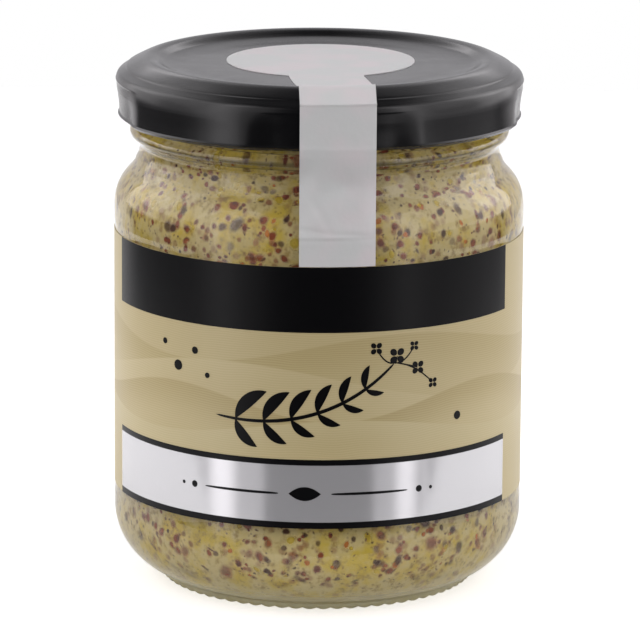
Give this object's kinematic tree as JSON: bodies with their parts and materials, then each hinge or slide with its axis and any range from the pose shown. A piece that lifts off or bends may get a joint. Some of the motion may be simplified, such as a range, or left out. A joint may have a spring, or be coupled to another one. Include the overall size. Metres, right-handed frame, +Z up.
{
  "type": "mustard jar",
  "caption": "Shut round glass jar of whole-grain mustard with a black twist-off lid, a wrap label and a paper tamper seal over the lid.",
  "frame": {"origin": "centre of the foot ring, on the surface that the jar stands on", "axes": "+Z up along the jar's axis; -Y is the front, where the seal hangs down; +X is to the right as the front is seen"},
  "size_m": [0.0672, 0.0674, 0.0867],
  "materials": {
    "clear_glass": "clear polished soda-lime glass with a faint green cast",
    "wholegrain_mustard": "moist creamy yellow paste with red-brown and dark seeds",
    "black_lacquer": "satin black lacquer on tinplate",
    "label_paper": "smooth coated label paper, cream with glossy black and silver bands",
    "seal_paper": "thin silver-white seal paper, satin"
  },
  "bodies": {
    "root": {"glass_jar": "clear_glass", "mustard": "wholegrain_mustard", "lid": "black_lacquer", "label": "label_paper", "seal": "seal_paper"}
  },
  "joints": []
}
